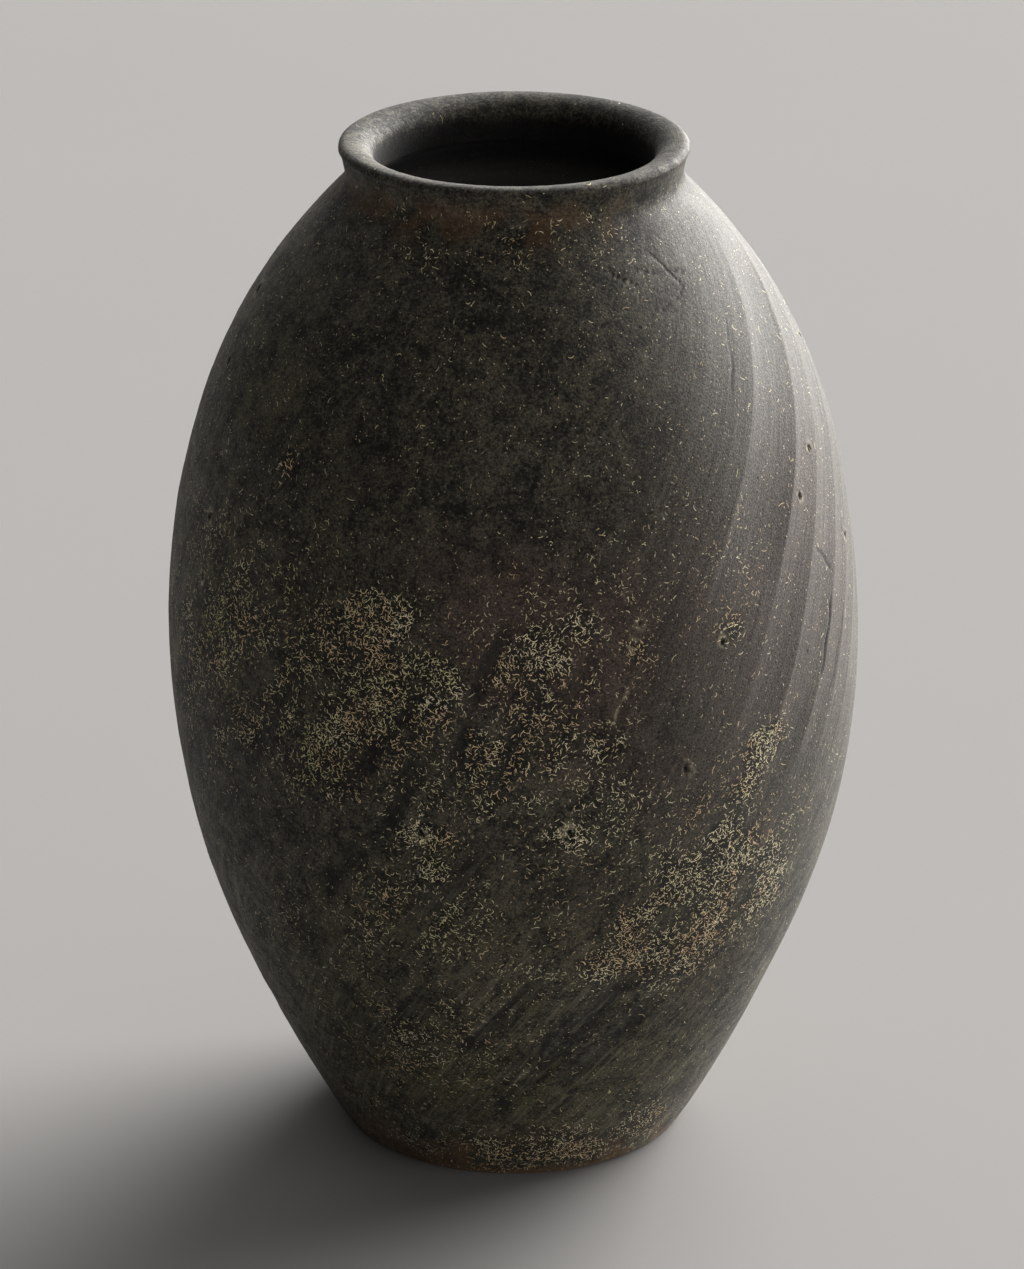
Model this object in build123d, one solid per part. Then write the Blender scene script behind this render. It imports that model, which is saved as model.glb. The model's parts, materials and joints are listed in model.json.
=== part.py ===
from build123d import *
import math
import os

# A wide-bellied clay jar, built up by hand from a base disc, stacked wall courses, a neck collar and a lip.
# Its axis is Z and it stands on the XY plane. Profiles are drawn as (radius, height), in millimetres.

# Outline of the wall: three tangent arcs, for the foot, the belly and the shoulder.
BELLY_RADIUS = 173.5  # widest outside radius
BELLY_HEIGHT = 265.0  # height of the widest ring
BELLY_CURVE = 410.0  # radius of the belly's arc
SHOULDER_CURVE = 268.0  # radius of the shoulder's arc
FOOT_CURVE = 820.0  # radius of the foot's arc
SHOULDER_ANGLE = 16.0  # tilt of the surface where belly turns into shoulder, degrees
FOOT_ANGLE = -21.5  # tilt of the surface where belly turns into foot, degrees

# Clay thicknesses and the base.
WALL = 11.0
FLOOR = 14.0
FOOT_EDGE = 4.0  # rounding of the edge that the jar stands on
INNER_CORNER = 20.0  # coil of clay pressed into the corner between floor and wall

# Neck and lip.
NECK_RADIUS = 81.5  # outside radius where the collar meets the shoulder
THROAT_RADIUS = 68.5  # the true cylinder through the neck
COLLAR_TOP = 511.0
COLLAR_TOP_RADIUS = 83.6
LIP_EDGE = (84.6, 515.3)  # where the lip's underside meets the flare of the neck
LIP_WIDEST = (85.7, 516.6)  # crisp outer edge of the lip
LIP_CREST = (81.8, 520.0)

# Wall courses, from the bottom up, with the height of each one's lower joint on the outside.
COURSES = (
    ("foot_course", FLOOR),
    ("lower_belly_course", 105.0),
    ("mid_belly_course", 200.0),
    ("upper_belly_course", 295.0),
    ("shoulder_course", 390.0),
)
SCARF_RISE = 0.55  # how far a joint climbs for each millimetre that it goes inwards
OVERSHOOT = 30.0  # how far a cutting band runs past the clay on each side


def on_arc(centre, radius, angle):
    """The point of an arc whose surface there is tilted by angle degrees."""
    turn = math.radians(angle)
    return (centre[0] + radius * math.cos(turn), centre[1] + radius * math.sin(turn))


def tangent_centre(centre, radius, next_radius, angle):
    """Centre of the arc that carries on smoothly from another one at the given tilt."""
    return on_arc(centre, radius - next_radius, angle)


BELLY_CENTRE = (BELLY_RADIUS - BELLY_CURVE, BELLY_HEIGHT)
SHOULDER_CENTRE = tangent_centre(BELLY_CENTRE, BELLY_CURVE, SHOULDER_CURVE, SHOULDER_ANGLE)
FOOT_CENTRE = tangent_centre(BELLY_CENTRE, BELLY_CURVE, FOOT_CURVE, FOOT_ANGLE)


def shoulder_height(inset, radius):
    """Height at which the shoulder, or a surface inset into its clay, has the given radius."""
    rise_squared = (SHOULDER_CURVE - inset) ** 2 - (radius - SHOULDER_CENTRE[0]) ** 2
    return SHOULDER_CENTRE[1] + math.sqrt(rise_squared)


def wall_radius(inset, height):
    """Radius of the wall's outside, or of a surface inset into its clay, at the given height."""
    arcs = (
        (FOOT_CENTRE, FOOT_CURVE, FOOT_ANGLE),
        (BELLY_CENTRE, BELLY_CURVE, SHOULDER_ANGLE),
        (SHOULDER_CENTRE, SHOULDER_CURVE, 90.0),
    )
    for centre, curve, last_angle in arcs:
        if height <= on_arc(centre, curve - inset, last_angle)[1]:
            return centre[0] + math.sqrt((curve - inset) ** 2 - (height - centre[1]) ** 2)


def wall_outline(inset, top_radius):
    """The three arcs, from ground to neck, of the wall's outside or of a surface inset into its clay."""
    foot_height = -FOOT_CENTRE[1]
    foot_tilt = math.degrees(math.asin(foot_height / (FOOT_CURVE - inset)))
    neck_tilt = math.degrees(math.acos((top_radius - SHOULDER_CENTRE[0]) / (SHOULDER_CURVE - inset)))
    spans = (
        (FOOT_CENTRE, FOOT_CURVE, foot_tilt, FOOT_ANGLE),
        (BELLY_CENTRE, BELLY_CURVE, FOOT_ANGLE, SHOULDER_ANGLE),
        (SHOULDER_CENTRE, SHOULDER_CURVE, SHOULDER_ANGLE, neck_tilt),
    )
    arcs = []
    for centre, curve, start, end in spans:
        angles = (start, (start + end) / 2, end)
        arcs.append(ThreePointArc(*[on_arc(centre, curve - inset, angle) for angle in angles]))
    return arcs


def wall_profile():
    """Section through the whole wall, from the ground to the neck."""
    outside = wall_outline(0.0, NECK_RADIUS)
    inside = wall_outline(WALL, THROAT_RADIUS)
    top = Line(outside[-1] @ 1, inside[-1] @ 1)
    bottom = Line(outside[0] @ 0, inside[0] @ 0)
    return make_face([*outside, top, *inside, bottom])


def joint_line(height, rise):
    """A joint's straight line through the clay, from outside the wall to inside it."""
    radius = wall_radius(0.0, height)
    outer = (radius + OVERSHOOT, height - rise * OVERSHOOT)
    inner = (radius - WALL - OVERSHOOT, height + rise * (WALL + OVERSHOOT))
    return outer, inner


def neck_joint_line():
    """The joint between shoulder and collar, which follows the top edge of the wall's section."""
    outer = (NECK_RADIUS, shoulder_height(0.0, NECK_RADIUS))
    inner = (THROAT_RADIUS, shoulder_height(WALL, THROAT_RADIUS))
    slope = (outer[1] - inner[1]) / (outer[0] - inner[0])
    far_outer = (outer[0] + OVERSHOOT, outer[1] + slope * OVERSHOOT)
    far_inner = (inner[0] - OVERSHOOT, inner[1] - slope * OVERSHOOT)
    return far_outer, far_inner


def turned(profile):
    """The solid that a (radius, height) profile sweeps in one full turn about the jar's axis."""
    return revolve(Plane.XZ * profile, Axis.Z)


def base_disc():
    """The flat slab that the jar stands on, with a rounded foot and an edge that continues the wall."""
    lower_edge = (wall_radius(0.0, 0.0), 0.0)
    side = (wall_radius(0.0, FLOOR / 2), FLOOR / 2)
    upper_edge = (wall_radius(0.0, FLOOR), FLOOR)
    outline = [
        Line((0.0, 0.0), lower_edge),
        ThreePointArc(lower_edge, side, upper_edge),
        Line(upper_edge, (0.0, FLOOR)),
        Line((0.0, FLOOR), (0.0, 0.0)),
    ]
    profile = make_face(outline)
    standing_corner = profile.vertices().sort_by(Axis.X)[-2]
    return turned(fillet(standing_corner, FOOT_EDGE))


def corner_coil():
    """Section of the clay that fills the inside corner above the floor, running into the wall."""
    above = FLOOR + INNER_CORNER
    corner = [
        (wall_radius(WALL, above), above),
        (wall_radius(WALL, FLOOR) - INNER_CORNER, FLOOR),
        (wall_radius(WALL / 2, FLOOR), FLOOR),
        (wall_radius(WALL / 2, above), above),
    ]
    return make_face(Polyline(*corner, close=True))


def course(lower_joint, upper_joint, section):
    """One ring of the wall between two joints."""
    band = make_face(Polyline(*lower_joint, *reversed(upper_joint), close=True))
    return turned(section & band)


def neck_collar():
    """The short flaring ring between shoulder and lip, with the cylindrical throat inside."""
    outline = [
        (NECK_RADIUS, shoulder_height(0.0, NECK_RADIUS)),
        (COLLAR_TOP_RADIUS, COLLAR_TOP),
        (THROAT_RADIUS, COLLAR_TOP),
        (THROAT_RADIUS, shoulder_height(WALL, THROAT_RADIUS)),
    ]
    return turned(make_face(Polyline(*outline, close=True)))


def quarter_oval(centre, width, height, start_angle):
    """A quarter of an upright ellipse, counter-clockwise from the given angle."""
    return EllipticalCenterArc(centre, width, height, start_angle=start_angle, arc_size=90.0)


def rim_lip():
    """The rounded lip: a wide smooth slope up from the throat, the crest, and a crisp edge underneath."""
    crest_radius, crest_height = LIP_CREST
    widest_radius, widest_height = LIP_WIDEST
    throat = (THROAT_RADIUS, COLLAR_TOP)
    collar = (COLLAR_TOP_RADIUS, COLLAR_TOP)
    slope_width, slope_height = crest_radius - THROAT_RADIUS, crest_height - COLLAR_TOP
    nose_width, nose_height = widest_radius - crest_radius, crest_height - widest_height
    slope = quarter_oval((crest_radius, COLLAR_TOP), slope_width, slope_height, 90.0)
    nose = quarter_oval((crest_radius, widest_height), nose_width, nose_height, 0.0)
    outline = [slope, nose, Line(LIP_WIDEST, LIP_EDGE), Line(LIP_EDGE, collar), Line(collar, throat)]
    return turned(make_face(outline))


def wall_courses():
    """Every ring of the wall by name, from the floor up to the neck."""
    joints = [joint_line(FLOOR, 0.0)]
    joints += [joint_line(height, SCARF_RISE) for _, height in COURSES[1:]]
    joints.append(neck_joint_line())
    section = wall_profile()
    rings = {}
    for index, (name, _) in enumerate(COURSES):
        clay = section + corner_coil() if index == 0 else section
        rings[name] = course(joints[index], joints[index + 1], clay)
    return rings


def main():
    os.makedirs("parts", exist_ok=True)
    solids = {"base_disc": base_disc(), **wall_courses()}
    solids.update(neck_collar=neck_collar(), rim_lip=rim_lip())
    for name, solid in solids.items():
        export_step(solid, f"parts/{name}.step")


main()
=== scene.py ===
import json
import math

import bpy
import numpy as np
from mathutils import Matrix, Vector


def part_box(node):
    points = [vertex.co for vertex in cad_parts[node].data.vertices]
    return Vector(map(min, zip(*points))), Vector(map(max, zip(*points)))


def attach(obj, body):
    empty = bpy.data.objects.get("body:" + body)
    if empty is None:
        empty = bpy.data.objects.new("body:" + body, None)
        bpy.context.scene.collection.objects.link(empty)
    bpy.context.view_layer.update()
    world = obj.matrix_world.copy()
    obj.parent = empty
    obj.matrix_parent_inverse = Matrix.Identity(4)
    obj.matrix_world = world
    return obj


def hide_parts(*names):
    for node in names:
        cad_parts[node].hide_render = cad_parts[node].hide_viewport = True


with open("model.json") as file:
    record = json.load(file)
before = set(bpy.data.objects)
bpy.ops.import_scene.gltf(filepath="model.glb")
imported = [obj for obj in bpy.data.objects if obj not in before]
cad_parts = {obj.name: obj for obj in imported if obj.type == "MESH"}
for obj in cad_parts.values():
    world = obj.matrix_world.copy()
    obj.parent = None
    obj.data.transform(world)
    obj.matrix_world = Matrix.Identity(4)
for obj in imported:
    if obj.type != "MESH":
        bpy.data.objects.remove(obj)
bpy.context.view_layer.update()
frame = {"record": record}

# The jar is drawn in millimetres as (radius, height) profiles, like the CAD, and turned into metres when each
# mesh is made. Azimuths are in degrees: 0 is the side towards the camera (-Y) and 90 is the right side (+X).
MM = 0.001

# ---- Sizes that the CAD nodes don't give directly: the wall's arcs, its thickness and the lip ----
BELLY_RADIUS = 173.5
BELLY_HEIGHT = 265.0
BELLY_CURVE = 410.0
SHOULDER_CURVE = 268.0
FOOT_CURVE = 820.0
SHOULDER_ANGLE = 16.0
FOOT_ANGLE = -21.5
WALL = 11.0
NECK_RADIUS = 81.5
COLLAR_TOP_RADIUS = 83.6
SCARF_RISE = 0.55
INNER_CORNER = 20.0
FOOT_ROUNDING = 2.6
LIP_EDGE = (84.6, 515.3)
LIP_WIDEST = (85.7, 516.6)
LIP_CREST_RADIUS = 81.8
LIP_UNDERSIDE = (LIP_EDGE[0] - 0.1, LIP_EDGE[1] - 0.4)  # where the rounding of the lip's lower edge starts
LIP_SIDE = (LIP_EDGE[0] + 0.45, LIP_EDGE[1] + 0.35)  # and where it ends


def low(node):
    """Height of a CAD node's lowest point, in millimetres."""
    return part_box(node)[0][2] / MM


def high(node):
    """Height of a CAD node's highest point, in millimetres."""
    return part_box(node)[1][2] / MM


THROAT_RADIUS = next(m for m in frame["record"]["mounts"] if m["name"] == "mouth")["dims"]["r_mm"]
FLOOR = high("base_disc")
COLLAR_TOP = low("rim_lip")
CREST = high("rim_lip")
WALL_COURSES = ["foot_course", "lower_belly_course", "mid_belly_course", "upper_belly_course",
                "shoulder_course"]
PIECES = ["base_disc", *WALL_COURSES, "neck_collar", "rim_lip"]
SLOTS = {s["node"]: s["material_slot"] for s in frame["record"]["subparts"]}

# ---- Mesh resolution ----
AROUND = 960  # points in each ring
ROW_STEP = 1.4  # spacing of the rings on the outside of the wall
SHOULDER_STEP = 1.7
FINE_STEP = 0.55  # spacing on the neck and lip
INSIDE_STEP = 6.5
INSIDE_SHOULDER_STEP = 2.6
JOINT_ROWS = 2  # rings across each hidden joint face

rng = np.random.default_rng(20)


# ---- Profile of the jar ----

def on_arc(centre, radius, tilt):
    turn = np.radians(tilt)
    return centre[0] + radius * np.cos(turn), centre[1] + radius * np.sin(turn)


BELLY_CENTRE = (BELLY_RADIUS - BELLY_CURVE, BELLY_HEIGHT)
SHOULDER_CENTRE = on_arc(BELLY_CENTRE, BELLY_CURVE - SHOULDER_CURVE, SHOULDER_ANGLE)
FOOT_CENTRE = on_arc(BELLY_CENTRE, BELLY_CURVE - FOOT_CURVE, FOOT_ANGLE)


def wall_radius(inset, height):
    """Radius of the wall's outside, or of a surface inset into its clay, at each height."""
    height = np.asarray(height, float)
    foot_end = on_arc(BELLY_CENTRE, BELLY_CURVE - inset, FOOT_ANGLE)[1]
    belly_end = on_arc(BELLY_CENTRE, BELLY_CURVE - inset, SHOULDER_ANGLE)[1]
    arcs = ((FOOT_CENTRE, FOOT_CURVE), (BELLY_CENTRE, BELLY_CURVE), (SHOULDER_CENTRE, SHOULDER_CURVE))
    radii = [c[0] + np.sqrt(np.maximum((r - inset) ** 2 - (height - c[1]) ** 2, 0.0)) for c, r in arcs]
    return np.where(height < foot_end, radii[0], np.where(height < belly_end, radii[1], radii[2]))


def shoulder_height(inset, radius):
    reach = (SHOULDER_CURVE - inset) ** 2 - (radius - SHOULDER_CENTRE[0]) ** 2
    return SHOULDER_CENTRE[1] + math.sqrt(reach)


def inner_joint(outer_height):
    """Where a joint that starts on the outside at a height comes out on the inside of the wall."""
    outer_radius = float(wall_radius(0.0, outer_height))
    depth = WALL
    for _ in range(12):
        depth = outer_radius - float(wall_radius(WALL, outer_height + SCARF_RISE * depth))
    return outer_radius - depth, outer_height + SCARF_RISE * depth


def line(start, end, step):
    """Points from start to end, evenly spaced at about the given step."""
    start, end = np.asarray(start, float), np.asarray(end, float)
    count = max(int(math.ceil(np.linalg.norm(end - start) / step)), 1)
    t = np.linspace(0.0, 1.0, count + 1)[:, None]
    return start + (end - start) * t


def bend(start, corner, end, count):
    """A smooth turn from start to end round a corner."""
    t = np.linspace(0.0, 1.0, count + 1)[:, None]
    start, corner, end = (np.asarray(p, float) for p in (start, corner, end))
    return start * (1 - t) ** 2 + corner * 2 * t * (1 - t) + end * t ** 2


def wall_run(inset, start, end, step):
    """Points on the wall's outside or inside between two heights."""
    slope_length = math.hypot(end - start, float(wall_radius(inset, end) - wall_radius(inset, start)))
    heights = np.linspace(start, end, max(int(round(slope_length / step)), 2) + 1)
    return np.stack([wall_radius(inset, heights), heights], axis=1)


def quarter_oval(centre, width, height, start, end, count):
    turn = np.radians(np.linspace(start, end, count + 1))
    return np.stack([centre[0] + width * np.cos(turn), centre[1] + height * np.sin(turn)], axis=1)


def build_path():
    """The jar's whole section as one path: from the middle of the underside, up the outside, over the lip and
    down the inside to the middle of the floor. Marks say at which point of the path each joint is met."""
    runs, marks = [], {}

    def add(points, mark=None):
        runs.append(points if not runs else points[1:])
        if mark:
            marks[mark] = sum(len(r) for r in runs) - 1

    foot = float(wall_radius(0.0, 0.0))
    foot_turn_end = (float(wall_radius(0.0, FOOT_ROUNDING)), FOOT_ROUNDING)
    add(line((0.0, 0.0), (foot - FOOT_ROUNDING, 0.0), 14.0))
    add(bend((foot - FOOT_ROUNDING, 0.0), (foot, 0.0), foot_turn_end, 6))
    add(wall_run(0.0, FOOT_ROUNDING, FLOOR, ROW_STEP), "outer base_disc")
    outer_heights = [low(name) for name in WALL_COURSES]
    for name, start, end in zip(WALL_COURSES[:-1], outer_heights[:-1], outer_heights[1:]):
        add(wall_run(0.0, start, end, ROW_STEP), "outer " + name)

    neck = np.array([NECK_RADIUS, shoulder_height(0.0, NECK_RADIUS)])
    collar_end = np.array([COLLAR_TOP_RADIUS, COLLAR_TOP])
    fillet_low = shoulder_height(0.0, NECK_RADIUS + 5.0)
    fillet_high = neck + (collar_end - neck) * 0.55
    add(wall_run(0.0, outer_heights[-1], fillet_low, SHOULDER_STEP))
    fillet = bend((float(wall_radius(0.0, fillet_low)), fillet_low), neck, fillet_high, 14)
    add(fillet[:8], "outer shoulder_course")
    add(fillet[7:])
    add(line(fillet_high, collar_end, FINE_STEP), "outer neck_collar")
    add(line(collar_end, LIP_UNDERSIDE, FINE_STEP))
    add(bend(LIP_UNDERSIDE, LIP_EDGE, LIP_SIDE, 3))
    add(bend(LIP_SIDE, (LIP_WIDEST[0] - 0.1, LIP_WIDEST[1] - 0.5), LIP_WIDEST, 3))
    crest = (LIP_CREST_RADIUS, CREST)
    add(quarter_oval((crest[0], LIP_WIDEST[1]), LIP_WIDEST[0] - crest[0], CREST - LIP_WIDEST[1], 0, 90, 11))
    add(quarter_oval((crest[0], COLLAR_TOP), crest[0] - THROAT_RADIUS, CREST - COLLAR_TOP, 90, 180, 34),
        "inner rim_lip")
    throat_end = (THROAT_RADIUS, shoulder_height(WALL, THROAT_RADIUS))
    add(line((THROAT_RADIUS, COLLAR_TOP), throat_end, 1.0), "inner neck_collar")

    inner = [inner_joint(h) for h in outer_heights[1:]]
    heights = [throat_end[1], *[point[1] for point in reversed(inner)]]
    for name, start, end in zip(reversed(WALL_COURSES[1:]), heights[:-1], heights[1:]):
        step = INSIDE_SHOULDER_STEP if name == "shoulder_course" else INSIDE_STEP
        add(wall_run(WALL, start, end, step), "inner " + name)
    corner_top = FLOOR + INNER_CORNER
    corner_radius = float(wall_radius(WALL, FLOOR))
    corner_end = (corner_radius - INNER_CORNER, FLOOR)
    add(wall_run(WALL, heights[-1], corner_top, INSIDE_STEP))
    add(bend((float(wall_radius(WALL, corner_top)), corner_top), (corner_radius, FLOOR), corner_end, 8),
        "inner foot_course")
    add(line(corner_end, (0.0, FLOOR), 10.0), "inner base_disc")
    return np.vstack(runs), marks


# ---- Relief: what the hand and the tools left in the clay, as heights above the plain profile ----

def smoothstep(low_end, high_end, value):
    t = np.clip((value - low_end) / (high_end - low_end), 0.0, 1.0)
    return t * t * (3.0 - 2.0 * t)


LATTICES = {seed: np.random.default_rng(seed).uniform(-1.0, 1.0, (32, 32, 32)) for seed in range(1, 13)}


def noise(points, size, seed):
    """Smooth random value from -1 to 1 at each point, with lumps of about the given size."""
    p = points / size
    cell = np.floor(p).astype(int)
    f = p - cell
    f = f * f * (3.0 - 2.0 * f)
    lattice = LATTICES[seed]
    total = 0.0
    for dx in (0, 1):
        for dy in (0, 1):
            for dz in (0, 1):
                weight = ((f[..., 0] if dx else 1 - f[..., 0]) * (f[..., 1] if dy else 1 - f[..., 1])
                          * (f[..., 2] if dz else 1 - f[..., 2]))
                corner = lattice[(cell[..., 0] + dx) % 32, (cell[..., 1] + dy) % 32, (cell[..., 2] + dz) % 32]
                total = total + weight * corner
    return total


def rough_noise(points, size, seed, octaves):
    total, weight = 0.0, 1.0
    for octave in range(octaves):
        total = total + weight * noise(points, size / 2 ** octave, (seed + octave) % 12 + 1)
        weight *= 0.55
    return total


LEAN_HEIGHT = 300.0  # where a strip's azimuth is given
LEAN = (0.155, 0.000125, 0.000475)  # degrees per millimetre there, and how that changes above and below


def lean(height):
    """How far round, in degrees, a scraping stroke has gone by a given height: they climb to the right."""
    up = height - LEAN_HEIGHT
    return LEAN[0] * up + LEAN[1] * up ** 2 + LEAN[2] * up * np.abs(up)


def around_distance(azimuth, centre):
    """Signed distance in degrees the short way round."""
    return (azimuth - centre + 180.0) % 360.0 - 180.0


# Flat scraped strips on the right and the back, by the azimuth of their edges at LEAN_HEIGHT.
STRIP_EDGES = np.array([10.0, 26.5, 43.1, 53.0, 63.5, 71.0, 78.0, 91.0, 107.0, 119.0, 133.0, 148.0, 160.0,
                        174.0, 188.0, 202.0])
# Height below which each of the first strips has been smoothed away again, and how strong it is.
STRIP_LOW_ENDS = [390.0, 318.0, 240.0, 214.0, 205.0, 215.0]
STRIP_STRENGTHS = [0.22, 1.05, 1.1, 1.05, 1.0, 0.9]
STRIP_TOP = 494.0
STRIP_FADE = 45.0  # height over which a strip comes and goes
STRIP_DEPTH = 1.5  # times its strength: 1 is flat from edge to edge, and more is slightly hollow


def strips(azimuth, radius, height):
    """The facets that a straight-edged scraper leaves: each is flat or slightly hollow between crisp edges."""
    turned = (azimuth - lean(height)) % 360.0
    index = np.clip(np.searchsorted(STRIP_EDGES, turned) - 1, 0, len(STRIP_EDGES) - 2)
    start, end = STRIP_EDGES[index], STRIP_EDGES[index + 1]
    inside = (turned > STRIP_EDGES[0]) & (turned < STRIP_EDGES[-1])
    across = 2.0 * (turned - start) / (end - start) - 1.0
    flat = radius * (1.0 - np.cos(np.radians(end - start) / 2.0)) * (1.0 - across ** 2)
    others = len(STRIP_EDGES) - len(STRIP_LOW_ENDS)
    low_end = np.array([*STRIP_LOW_ENDS, *[240.0 + 30.0 * math.sin(2.4 * i) for i in range(others)]])[index]
    strength = np.array([*STRIP_STRENGTHS, *[0.9] * others])[index]
    fade = smoothstep(low_end, low_end + STRIP_FADE, height)
    fade = fade * (1.0 - smoothstep(STRIP_TOP - STRIP_FADE, STRIP_TOP, height))
    return -STRIP_DEPTH * strength * flat * fade * inside


# Wiping strokes: azimuth and height of the upper end and of the lower end, half width, depth.
GOUGES = [
    (0.9, 336, -8.0, 290, 4.0, 0.75),
    (-8.0, 290, -10.6, 262, 3.6, 0.95),
    (-10.6, 264, -7.5, 248, 3.0, 0.6),
    (-14.0, 306, -21.5, 279, 3.6, 0.55),
    (-21.5, 279, -29.0, 233, 4.2, 0.95),
    (-13.0, 270, -23.9, 218, 5.0, 0.8),
    (-23.9, 218, -34.9, 172, 6.0, 0.6),
    (-36.0, 297, -48.2, 231, 5.0, 0.6),
    (-48.2, 231, -58.9, 197, 5.0, 0.6),
    (6.5, 312, -5.9, 243, 4.6, 0.55),
    (18.5, 294, 13.1, 262, 3.4, 0.45),
    (14.0, 322, 6.5, 280, 4.0, 0.45),
    (24.0, 384, 7.4, 342, 5.5, 0.4),
    (6.5, 138, -12.0, 91, 5.5, 0.8),
    (23.7, 150, 2.0, 69, 6.0, 0.85),
    (30.0, 128, 9.5, 62, 5.5, 0.6),
    (14.6, 122, -3.3, 62, 5.0, 0.6),
    (9.5, 97, -4.3, 44, 4.5, 0.5),
    (-15.7, 132, -32.9, 84, 6.5, 0.6),
    (-2.0, 230, -18.0, 175, 6.0, 0.5),
    (16.0, 226, 3.0, 176, 6.0, 0.4),
    (-44.0, 420, -58.0, 365, 7.0, 0.35),
    (-20.0, 448, -36.0, 395, 7.0, 0.3),
]


RANDOM_GOUGES, RANDOM_PITS, RANDOM_PATCHES = 46, 26, 44  # how many more, on the sides and the back


def random_gouges(count):
    """More strokes of the same kind, mostly shallower, for the sides and the back."""
    made = []
    for _ in range(count):
        azimuth, height = rng.uniform(100.0, 300.0), rng.uniform(50.0, 400.0)
        length, width = rng.uniform(35.0, 80.0), rng.uniform(3.5, 6.5)
        swing = length * rng.uniform(0.14, 0.36)
        made.append((azimuth + swing / 2, height + length / 2, azimuth - swing / 2, height - length / 2,
                     width, rng.uniform(0.15, 0.5)))
    return made


def gouge(azimuth, height, spec):
    """One stroke: a shallow trough with a slightly raised edge, fading out at both ends."""
    top_azimuth, top_height, low_azimuth, low_height, width, depth = spec
    mid_azimuth = (top_azimuth + low_azimuth) / 2
    mid_height = (top_height + low_height) / 2
    scale = math.radians(1.0) * float(wall_radius(0.0, mid_height))
    across = around_distance(azimuth, mid_azimuth) * scale
    up = height - mid_height
    dx = around_distance(top_azimuth, low_azimuth) * scale
    dz = top_height - low_height
    length = math.hypot(dx, dz)
    along = (across * dx + up * dz) / length
    side = (across * dz - up * dx) / length
    side = side + 3.0 * np.sin(along / length * 3.0 + top_azimuth)
    t = np.abs(along) / (length / 2)
    ends = 1.0 - smoothstep(0.55, 1.1, t)
    trough = np.exp(-(side / width) ** 4)
    ridge = np.exp(-((np.abs(side) - 1.45 * width) / (0.42 * width)) ** 2)
    return depth * ends * (0.38 * ridge - trough), ends * trough


# Holes where grit has fallen out: azimuth, height, radius, depth.
PITS = [(-15.2, 225, 2.6, 2.2), (8.9, 227, 2.2, 1.8), (28.3, 253, 2.0, 2.2), (19.2, 320, 1.5, 1.6),
        (35.4, 313, 1.5, 1.8), (66.6, 383, 1.6, 1.6), (-63.5, 352, 1.5, 1.6), (-63.0, 322, 1.4, 1.4),
        (-27.0, 104, 1.4, 1.2), (59.0, 366, 1.5, 1.5), (20.6, 330, 1.3, 1.2), (76.0, 330, 1.5, 1.4)]


def random_pits(count):
    made = []
    for _ in range(count):
        made.append((rng.uniform(85.0, 290.0), rng.uniform(60.0, 450.0), rng.uniform(1.2, 2.2),
                     rng.uniform(1.0, 2.0)))
    return made


def pit(azimuth, height, spec):
    """How far into a hole each point is, from 0 at its edge to 1, and how near its rim."""
    scale = math.radians(1.0) * float(wall_radius(0.0, spec[1]))
    across = around_distance(azimuth, spec[0]) * scale
    distance = np.hypot(across, (height - spec[1]) * 0.8 + across * 0.3) / spec[2]
    return 1.0 - smoothstep(0.35, 1.0, distance), np.exp(-((distance - 1.5) / 0.7) ** 2)


# Cracks and scratches: azimuth and height of both ends, half width, depth. A negative depth marks a pale one,
# which is just as deep; the others are painted near black as painted shade.
CRACKS = [
    (65.2, 312, 59.0, 271, 1.1, 0.9),
    (61.0, 340, 66.5, 322, 0.6, 0.5),
    (18.5, 302, 13.0, 262, 0.5, -0.6),
    (41.0, 486, 47.5, 470, 0.6, 0.35),
    (32.0, 481, 52.0, 474, 0.6, 0.30),
    (47.5, 470, 36.0, 462, 0.5, 0.30),
    (26.0, 483, 33.0, 474, 0.5, -0.5),
    (56.0, 455, 47.0, 420, 0.5, 0.25),
    (70.5, 300, 62.0, 258, 0.5, 0.30),
]


def crack(azimuth, height, spec):
    """A thin wavering line between two points, tapering to both ends."""
    top_azimuth, top_height, low_azimuth, low_height, width, _ = spec
    scale = math.radians(1.0) * float(wall_radius(0.0, (top_height + low_height) / 2))
    across = around_distance(azimuth, (top_azimuth + low_azimuth) / 2) * scale
    up = height - (top_height + low_height) / 2
    dx, dz = around_distance(top_azimuth, low_azimuth) * scale, top_height - low_height
    length = math.hypot(dx, dz)
    along = (across * dx + up * dz) / length
    side = (across * dz - up * dx) / length + 0.6 * np.sin(along * 0.31 + top_azimuth)
    return np.exp(-(side / width) ** 2) * (1.0 - smoothstep(0.7, 1.0, np.abs(along) / (length / 2)))


def near(azimuth, height, spec):
    """Rows and columns of the grid near a stroke or hole, so that each is worked out only there."""
    azimuths, heights = spec[0], spec[1]
    reach = 22.0
    if len(spec) > 4:
        azimuths, heights = (spec[0] + spec[2]) / 2, (spec[1] + spec[3]) / 2
        reach = 22.0 + abs(spec[1] - spec[3])
    rows = np.flatnonzero(np.abs(height[:, 0] - heights) < reach)
    columns = np.flatnonzero(np.abs(around_distance(azimuth[0], azimuths)) < reach * 0.8)
    return np.ix_(rows, columns)


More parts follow.
